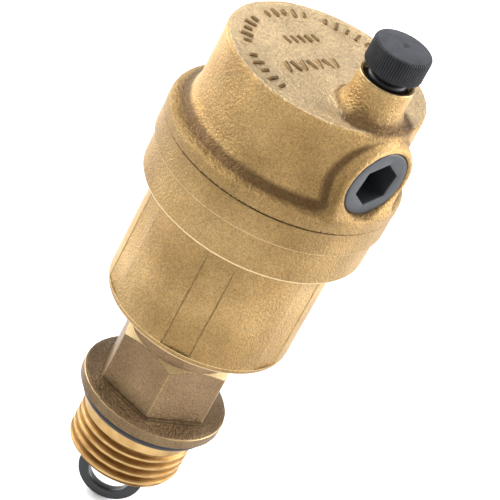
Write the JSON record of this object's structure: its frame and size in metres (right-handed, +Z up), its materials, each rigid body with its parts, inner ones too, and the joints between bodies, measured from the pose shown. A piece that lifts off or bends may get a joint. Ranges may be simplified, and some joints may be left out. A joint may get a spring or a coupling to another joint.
{
  "type": "automatic air vent",
  "caption": "Automatic float air vent: cast brass body with hexagon and male pipe nipple, cover with side plug and vented cap, float and lever valve inside.",
  "frame": {"origin": "on the main axis, in the plane of the collar's underside, against which the sealing ring sits", "axes": "+Z up along the main axis, from the nipple to the cover; +X towards the side boss and its plug, in whose plane the chimney stands too"},
  "size_m": [0.0417, 0.0416, 0.1092],
  "materials": {
    "cast_brass": "sand-blasted casting with machined faces",
    "turned_brass": "turned",
    "black_rubber": "smooth moulded rubber",
    "black_plastic": "moulded, slight sheen",
    "grey_plastic": "glass-filled, moulded",
    "steel": "bright stamped stainless",
    "white_plastic": "natural acetal",
    "float_plastic": "natural polypropylene"
  },
  "bodies": {
    "housing": {"body": "cast_brass", "cover": "cast_brass", "cover_o_ring": "black_rubber", "collar_o_ring": "black_rubber", "check_valve_stirrup": "black_plastic", "valve_seat": "turned_brass", "valve_seat_o_ring": "black_rubber", "lever_bracket": "steel", "bracket_screws": "steel", "lever_pivot_pin": "steel"},
    "float": {"float_shell": "float_plastic", "float_base": "float_plastic", "float_hook": "float_plastic"},
    "lever": {"valve_lever": "white_plastic", "shutter_holder": "turned_brass", "shutter_pad": "black_rubber", "shutter_spring": "steel", "link_pin": "steel"},
    "cap_seal": {"vent_cap_o_ring": "black_rubber"},
    "cap": {"vent_cap": "black_plastic"},
    "plug_seal": {"side_plug_o_ring": "black_rubber"},
    "plug": {"side_plug": "grey_plastic"}
  },
  "joints": [
    {"name": "float_rise", "type": "slide", "parent": "housing", "child": "float", "axis": [0, 0, 1], "range_m": [0, 0.0035]},
    {"name": "lever_tilt", "type": "hinge", "parent": "housing", "child": "lever", "pos_m": [-0.0014, 0, 0.0594], "axis": [0, 1, 0], "range_deg": [0, 21.62]},
    {"name": "vent_cap_lift", "type": "slide", "parent": "housing", "child": "cap_seal", "axis": [0, 0, 1], "range_m": [-0.0015, 0.003]},
    {"name": "vent_cap_turn", "type": "hinge", "parent": "cap_seal", "child": "cap", "pos_m": [0.01115, 0, 0.0789], "axis": [0, 0, 1], "range_deg": [-540, 1080]},
    {"name": "side_plug_travel", "type": "slide", "parent": "housing", "child": "plug_seal", "axis": [1, 0, 0], "range_m": [0, 0.0045]},
    {"name": "side_plug_turn", "type": "hinge", "parent": "plug_seal", "child": "plug", "pos_m": [0.016, 0, 0.0639], "axis": [1, 0, 0], "range_deg": [0, 1080]}
  ],
  "couplings": [
    {"joint": "lever_tilt", "follows": "float_rise", "rad_per_m": 107.8},
    {"joint": "vent_cap_turn", "follows": "vent_cap_lift", "rad_per_m": 6283.1},
    {"joint": "side_plug_turn", "follows": "side_plug_travel", "rad_per_m": 4188.7}
  ]
}
